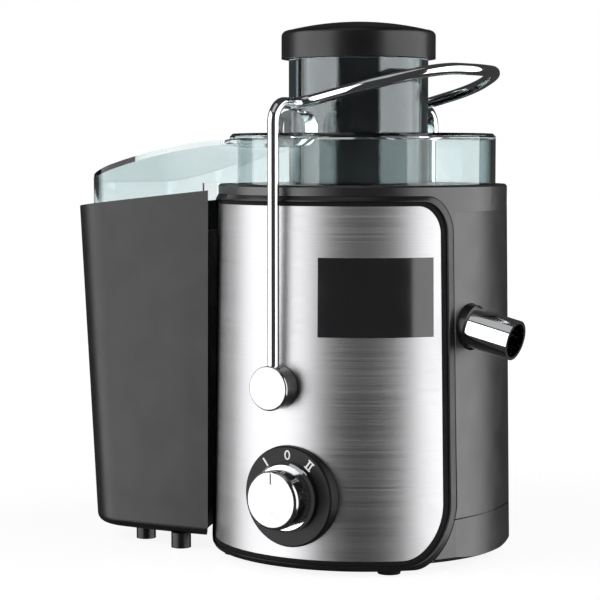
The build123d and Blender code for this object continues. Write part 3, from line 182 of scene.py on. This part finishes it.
MATERIALS = {
    "housing_plastic": moulded_plastic(
        "housing plastic", (0.005, 0.005, 0.0055), (0.008, 0.008, 0.0085), 0.36, gloss=1.0
    ),
    "bezel_plastic": moulded_plastic(
        "bezel plastic", (0.004, 0.004, 0.0045), (0.007, 0.007, 0.0075), 0.30, 1500, 0.02
    ),
    "brushed_panel": brushed_metal(
        "brushed panel", (0.47, 0.465, 0.475), (0.53, 0.525, 0.535), 0.36, (5, 5, 3600), 0.5, 0.05
    ),
    "plate_black": moulded_plastic(
        "dark plate", (0.008, 0.008, 0.009), (0.013, 0.013, 0.014), 0.16, 900, 0.01, 0.6
    ),
    "dial_black": moulded_plastic(
        "dial plastic", (0.003, 0.003, 0.0034), (0.006, 0.006, 0.0065), 0.36, 2400, 0.04, gloss=0.25
    ),
    "mark_white": moulded_plastic(
        "white print", (0.74, 0.74, 0.74), (0.86, 0.86, 0.86), 0.45, 1200, 0.02
    ),
    "chrome": plated_metal("chrome plate", (0.66, 0.67, 0.68), (0.80, 0.81, 0.82), 0.05),
    "clear_plastic": clear_plastic("clear plastic", (0.82, 0.88, 0.885), (0.34, 0.48, 0.49), 0.015),
    "pusher_plastic": moulded_plastic(
        "pusher plastic", (0.004, 0.004, 0.005), (0.008, 0.008, 0.009), 0.12, 500, 0.01, gloss=1.0
    ),
    "cap_plastic": moulded_plastic(
        "cap plastic", (0.003, 0.003, 0.0033), (0.006, 0.006, 0.0065), 0.34, gloss=0.5
    ),
    "bin_plastic": moulded_plastic(
        "container plastic", (0.004, 0.004, 0.0045), (0.007, 0.007, 0.0075), 0.36, gloss=0.45
    ),
    "rubber": moulded_plastic(
        "rubber", (0.003, 0.003, 0.003), (0.007, 0.007, 0.007), 0.75, 900, 0.2, gloss=0.2
    ),
    "bowl_plastic": moulded_plastic("bowl plastic", (0.05, 0.05, 0.054), (0.07, 0.07, 0.074), 0.32),
    "inner_plastic": moulded_plastic(
        "inner plastic", (0.02, 0.02, 0.02), (0.035, 0.035, 0.035), 0.5
    ),
    "stainless": brushed_metal(
        "stainless sheet", (0.48, 0.48, 0.49), (0.66, 0.66, 0.67), 0.25, (120, 120, 900), 0.3
    ),
    "bearing_steel": brushed_metal(
        "ground steel", (0.42, 0.42, 0.44), (0.58, 0.58, 0.60), 0.22, (60, 60, 1500), 0.4
    ),
    "laminated_steel": brushed_metal(
        "stacked sheet steel", (0.16, 0.16, 0.17), (0.34, 0.34, 0.35), 0.42, (3, 3, 1800), 0.2, 0.6
    ),
    "copper": wound_copper("copper wire"),
    "zinc_bracket": brushed_metal(
        "cast bracket", (0.45, 0.45, 0.46), (0.60, 0.60, 0.61), 0.45, (350, 350, 350), 0.0, 0.3
    ),
    "carbon": moulded_plastic("carbon", (0.02, 0.02, 0.02), (0.05, 0.05, 0.05), 0.6, 700, 0.3),
}

TURNED_CHROME = brushed_metal(
    "turned chrome", (0.36, 0.362, 0.37), (0.47, 0.472, 0.48), 0.13, (420, 420, 420), 0.0, 0.03
)
TURNED_PIECES = ("speed_knob", "pivot_cap_front", "pivot_cap_rear")  # less mirror-like than the bar

for part in frame["record"]["subparts"]:
    finish = TURNED_CHROME if part["node"] in TURNED_PIECES else MATERIALS[part["material_slot"]]
    for material_slot in NODES[part["node"]].material_slots:
        material_slot.material = finish


# ---------------------------------------------------------------- front bezel
TAPER_TOP = 0.180  # the housing narrows up to here
BODY_R_FLOOR = 0.077
BODY_TAPER = 0.0025
PANEL_FIT = 0.00015
# An outline's half angle, low and high ends, and upper and lower corner radii.
PANEL_OUTLINE = (radians(61.5), 0.0075, 0.180, 0.014, 0.026)
BEZEL_OUTLINE = (radians(67.5), 0.0026, 0.1848, 0.0189, 0.0309)
BEZEL_SEAT = -0.0009
EDGE_STEPS, CORNER_STEPS, SIDE_STEPS = 20, 16, 24  # points along half an end, a corner and a side
CHANNEL_PROFILE = (  # share of the way from the panel to the bezel's outer edge, height over the housing
    (0.0, BEZEL_SEAT),
    (0.0, 0.0001),
    (0.03, 0.0002),
    (0.42, 0.0002),
    (0.42, BEZEL_SEAT),
)
BEZEL_PROFILE = (
    (0.42, BEZEL_SEAT),
    (0.42, 0.0009),
    (0.44, 0.00115),
    (0.47, 0.0013),
    (0.53, 0.00128),
    (0.59, 0.00112),
    (0.93, 0.0002),
    (0.98, 0.00004),
    (1.0, -0.0001),
    (1.0, BEZEL_SEAT),
)


def body_radius(height):
    """Outer radius of the housing at a height."""
    return BODY_R_FLOOR - BODY_TAPER * min(height, TAPER_TOP) / TAPER_TOP


def front_outline(half_angle, low, high, corner_top, corner_low, grow=0.0):
    """Rounded outline as seen from the front: (x, height) points, anticlockwise from the lower right."""
    low, high = low - grow, high + grow
    half_angle += grow / BODY_R_FLOOR
    squeeze = cos(half_angle)
    half = []
    low_x = body_radius(low) * sin(half_angle) - corner_low * squeeze
    top_x = body_radius(high) * sin(half_angle) - corner_top * squeeze
    for n in range(EDGE_STEPS + 1):
        half.append((low_x * n / EDGE_STEPS, low))
    for n in range(1, CORNER_STEPS + 1):
        t = pi / 2 * n / CORNER_STEPS
        half.append((low_x + corner_low * squeeze * sin(t), low + corner_low * (1 - cos(t))))
    start, end = half[-1], (top_x + corner_top * squeeze, high - corner_top)
    for n in range(1, SIDE_STEPS + 1):
        half.append(tuple(start[i] + (end[i] - start[i]) * n / SIDE_STEPS for i in (0, 1)))
    for n in range(1, CORNER_STEPS + 1):
        t = pi / 2 * n / CORNER_STEPS
        half.append((top_x + corner_top * squeeze * cos(t), high - corner_top * (1 - sin(t))))
    for n in range(1, EDGE_STEPS + 1):
        half.append((top_x * (1 - n / EDGE_STEPS), high))
    return half + [(-x, z) for x, z in reversed(half[1:-1])]


def on_housing(x, height, over):
    """Place on the housing's front for a point of a front outline."""
    turn = asin(x / body_radius(height))
    reach = body_radius(height) + over
    return AXIS.x + reach * sin(turn), AXIS.y - reach * cos(turn), height


def closed_band(name, rings, sharp_over=radians(32)):
    """Mesh through closed rings of points, each joined to the next and the last to the first."""
    mesh = bpy.data.meshes.new(name)
    piece = bpy.data.objects.new(name, mesh)
    bpy.context.scene.collection.objects.link(piece)
    grid = bmesh.new()
    verts = [[grid.verts.new(point) for point in ring] for ring in rings]
    count = len(rings[0])
    for row, ring in enumerate(verts):
        following = verts[(row + 1) % len(verts)]
        for n in range(count):
            grid.faces.new((ring[n], ring[(n + 1) % count], following[(n + 1) % count], following[n]))
    bmesh.ops.recalc_face_normals(grid, faces=grid.faces)
    for face in grid.faces:
        face.smooth = True
    for edge in grid.edges:
        edge.smooth = edge.calc_face_angle(0) < sharp_over
    grid.to_mesh(mesh)
    grid.free()
    return piece


def make_bezel_band(name, profile, slot):
    """Band round the steel panel with a profile between the panel's outline and the bezel's."""
    inner = front_outline(*PANEL_OUTLINE, grow=PANEL_FIT)
    outer = front_outline(*BEZEL_OUTLINE)
    rings = []
    for share, over in profile:
        ring = []
        for a, b in zip(inner, outer):
            ring.append(on_housing(a[0] + (b[0] - a[0]) * share, a[1] + (b[1] - a[1]) * share, over))
        rings.append(ring)
    band = closed_band(name, rings)
    band.data.materials.append(MATERIALS[slot])
    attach(band, "housing")
    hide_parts("front_bezel")


# The channel between the steel panel and the bezel is real, but its matte black rubber finish is painted shade: it
# stands in for the shadow in that gap.
make_bezel_band("bezel_channel", CHANNEL_PROFILE, "rubber")
make_bezel_band("bezel_band", BEZEL_PROFILE, "bezel_plastic")


# ---------------------------------------------------------------- camera
VIEW_TURN = radians(30.6)  # the camera stands this far to the right of straight ahead
AIM_TURN = radians(32.4)
AIM_DOWN = radians(4.18)
VIEW_DISTANCE = 1.029
EYE_HEIGHT = 0.2047
LENS = 118.97


def make_camera():
    data = bpy.data.cameras.new("camera")
    data.lens = LENS
    data.sensor_width = 36.0
    data.clip_start = 0.01
    camera = bpy.data.objects.new("camera", data)
    camera.location = (
        AXIS.x + VIEW_DISTANCE * sin(VIEW_TURN),
        AXIS.y - VIEW_DISTANCE * cos(VIEW_TURN),
        EYE_HEIGHT,
    )
    forward = Vector((-sin(AIM_TURN) * cos(AIM_DOWN), cos(AIM_TURN) * cos(AIM_DOWN), -sin(AIM_DOWN)))
    camera.rotation_euler = forward.to_track_quat("-Z", "Y").to_euler()
    bpy.context.scene.collection.objects.link(camera)
    bpy.context.scene.camera = camera


# ---------------------------------------------------------------- studio
ROOM_LIGHT = 0.05  # strength of the dark room behind the camera, as surfaces reflect it
BACKDROP = 1.0  # strength of the white backdrop, as the camera and clear pieces see it
FLOOR_GLOW = (0.89, 1.0)  # glow of the floor beside the object, and from FLOOR_FADE's far end on
FLOOR_FADE = (0.20, 0.75)
FLOOR_HALF = 8.0
LIGHT_AIM = 0.13  # height that the lights are aimed at


def area_light(name, turn, height, distance, size, radiance):
    """Soft box on a circle round the motor axis, aimed at it; turn as the camera's, in degrees."""
    data = bpy.data.lights.new(name, "AREA")
    data.shape = "RECTANGLE"
    data.size, data.size_y = size
    data.energy = radiance * pi * size[0] * size[1]
    light = bpy.data.objects.new(name, data)
    light.location = (
        AXIS.x + distance * sin(radians(turn)),
        AXIS.y - distance * cos(radians(turn)),
        height,
    )
    target = Vector((AXIS.x, AXIS.y, LIGHT_AIM))
    light.rotation_euler = (target - light.location).to_track_quat("-Z", "Y").to_euler()
    light.visible_camera = False
    bpy.context.scene.collection.objects.link(light)


def make_world():
    """White for the camera, straight or through clear pieces, and dim for what surfaces reflect."""
    world = bpy.data.worlds.new("studio")
    world.use_nodes = True
    tree = world.node_tree
    background = tree.nodes["Background"]
    path = tree.nodes.new("ShaderNodeLightPath")
    straight = tree.nodes.new("ShaderNodeMath")
    straight.operation = "LESS_THAN"
    straight.inputs[1].default_value = 0.5
    link(tree, path.outputs["Glossy Depth"], straight.inputs[0])
    through = tree.nodes.new("ShaderNodeMath")
    through.operation = "MULTIPLY"
    link(tree, path.outputs["Is Transmission Ray"], through.inputs[0])
    link(tree, straight.outputs["Value"], through.inputs[1])
    seen = tree.nodes.new("ShaderNodeMath")
    seen.operation = "MAXIMUM"
    link(tree, path.outputs["Is Camera Ray"], seen.inputs[0])
    link(tree, through.outputs["Value"], seen.inputs[1])
    strength = tree.nodes.new("ShaderNodeMapRange")
    strength.inputs["To Min"].default_value = ROOM_LIGHT
    strength.inputs["To Max"].default_value = BACKDROP
    link(tree, seen.outputs["Value"], strength.inputs["Value"])
    link(tree, strength.outputs["Result"], background.inputs["Strength"])
    background.inputs["Color"].default_value = (1.0, 1.0, 1.0, 1)
    bpy.context.scene.world = world


def make_floor():
    mesh = bpy.data.meshes.new("floor")
    turns = ((-1, -1), (1, -1), (1, 1), (-1, 1))
    mesh.from_pydata([(x * FLOOR_HALF, y * FLOOR_HALF, 0) for x, y in turns], [], [(0, 1, 2, 3)])
    floor = bpy.data.objects.new("floor", mesh)
    bpy.context.scene.collection.objects.link(floor)
    material, tree, bsdf = shader("pale floor")
    pale = tint(tree, noise(tree, (3, 3, 3)), (0.20, 0.20, 0.20), (0.22, 0.22, 0.22))
    link(tree, pale, bsdf.inputs["Base Color"])
    bsdf.inputs["Roughness"].default_value = 0.30
    bsdf.inputs["Emission Color"].default_value = (1, 1, 1, 1)
    away = tree.nodes.new("ShaderNodeVectorMath")
    away.operation = "DISTANCE"
    away.inputs[1].default_value = (AXIS.x, AXIS.y, 0)
    link(tree, object_coords(tree, (1, 1, 1)), away.inputs[0])
    glow = tree.nodes.new("ShaderNodeMapRange")
    glow.inputs["From Min"].default_value, glow.inputs["From Max"].default_value = FLOOR_FADE
    glow.inputs["To Min"].default_value, glow.inputs["To Max"].default_value = FLOOR_GLOW
    link(tree, away.outputs["Value"], glow.inputs["Value"])
    link(tree, glow.outputs["Result"], bsdf.inputs["Emission Strength"])
    mesh.materials.append(material)
    floor.visible_glossy = False


def make_studio():
    """Two large soft boxes, to the left and the right of the object, and a weak one above."""
    make_world()
    area_light("soft_box_left", -41, 0.25, 1.05, (1.5, 1.5), 2.6)
    area_light("soft_box_right", 107, 0.25, 1.05, (1.7, 1.5), 2.5)
    area_light("soft_box_top", 0, 1.3, 0.5, (0.9, 0.9), 0.5)
    make_floor()
    bpy.context.scene.view_settings.view_transform = "Standard"


make_camera()
make_studio()
